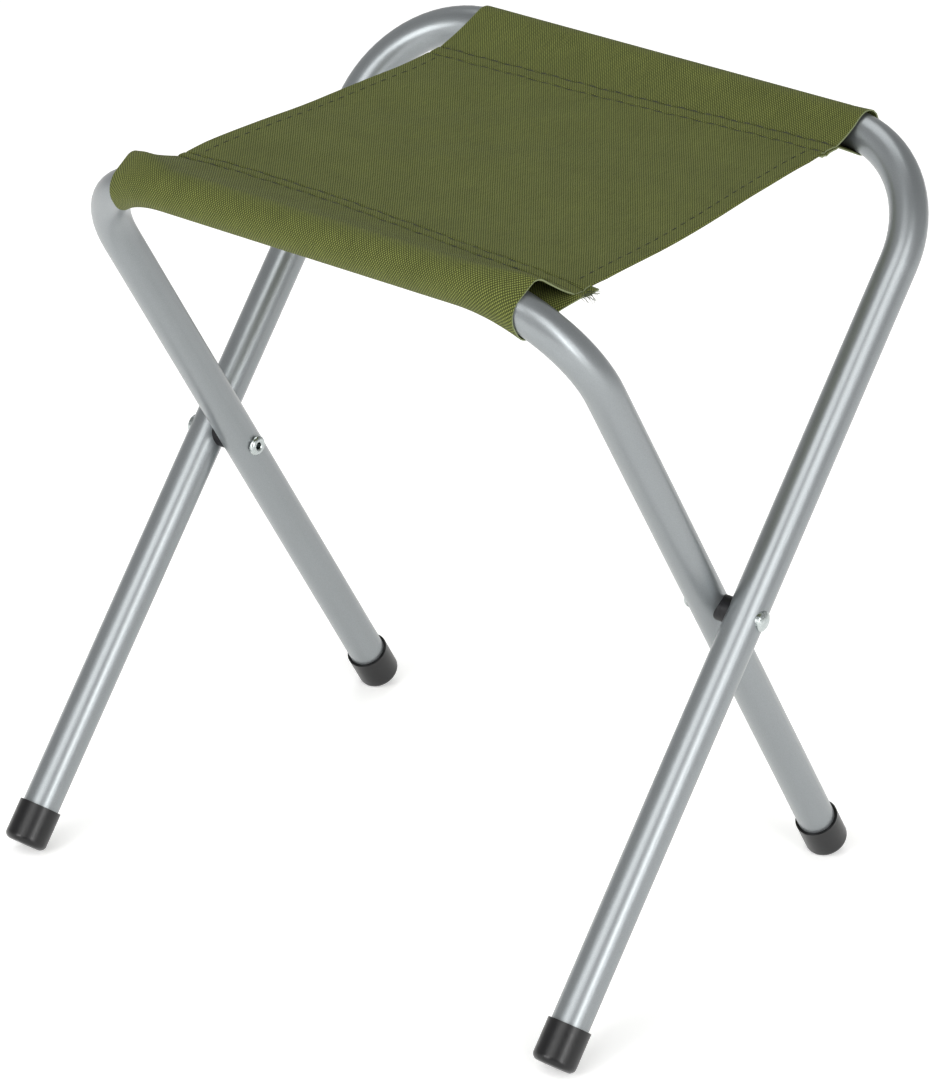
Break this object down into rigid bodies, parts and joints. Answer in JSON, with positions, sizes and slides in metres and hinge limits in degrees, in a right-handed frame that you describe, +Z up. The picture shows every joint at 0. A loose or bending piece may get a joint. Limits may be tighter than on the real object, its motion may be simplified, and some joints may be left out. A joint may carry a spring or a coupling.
{
  "type": "folding camp stool",
  "caption": "Folding camp stool: two nested tube frames crossing at rivets, with a woven cloth seat sewn round both top rails.",
  "frame": {"origin": "on the floor, under the middle of the open stool's box", "axes": "+Z up; +X from the inner frame's rail (front) to the outer frame's rail (rear); +Y to the stool's left, along the rails"},
  "size_m": [0.3236, 0.361, 0.3832],
  "materials": {
    "frame_paint": "satin silver-grey paint on steel tube",
    "cap_rubber": "satin black rubber",
    "rivet_zinc": "bright zinc-plated steel",
    "washer_plastic": "black moulded plastic",
    "seat_cloth": "olive-green woven oxford cloth",
    "seat_thread": "dark olive sewing thread"
  },
  "bodies": {
    "outer_frame": {"outer_frame_tube": "frame_paint", "foot_cap_outer_left": "cap_rubber", "foot_cap_outer_right": "cap_rubber", "pivot_rivet_left": "rivet_zinc", "pivot_rivet_right": "rivet_zinc", "saddle_washer_outer_left": "washer_plastic", "saddle_washer_outer_right": "washer_plastic"},
    "inner_frame": {"inner_frame_tube": "frame_paint", "foot_cap_inner_left": "cap_rubber", "foot_cap_inner_right": "cap_rubber", "saddle_washer_inner_left": "washer_plastic", "saddle_washer_inner_right": "washer_plastic"},
    "seat_rear": {"seat_cloth_rear": "seat_cloth", "seam_thread_rear": "seat_thread", "hem_thread_rear_left": "seat_thread", "hem_thread_rear_right": "seat_thread"},
    "seat_front": {"seat_cloth_front": "seat_cloth", "seam_thread_front": "seat_thread", "hem_thread_front_left": "seat_thread", "hem_thread_front_right": "seat_thread"}
  },
  "joints": [
    {"name": "fold", "type": "hinge", "parent": "outer_frame", "child": "inner_frame", "pos_m": [-0.00554, 0, 0.18319], "axis": [0, 1, 0], "range_deg": [0, 64]},
    {"name": "seat_rear_turn", "type": "hinge", "parent": "outer_frame", "child": "seat_rear", "pos_m": [0.15108, 0, 0.36951], "axis": [0, 1, 0], "range_deg": [-45.9, 0], "deforming": ["seat_cloth_rear", "seam_thread_rear", "hem_thread_rear_left", "hem_thread_rear_right"]},
    {"name": "seat_crease", "type": "hinge", "parent": "seat_rear", "child": "seat_front", "pos_m": [0.0033, 0, 0.37321], "axis": [0, 1, 0], "range_deg": [0, 169.8], "deforming": ["seat_cloth_front", "seam_thread_front", "hem_thread_front_left", "hem_thread_front_right"]}
  ],
  "couplings": [
    {"joint": "seat_rear_turn", "follows": "fold", "ratio": -0.71335},
    {"joint": "seat_crease", "follows": "fold", "ratio": 2.6494}
  ]
}
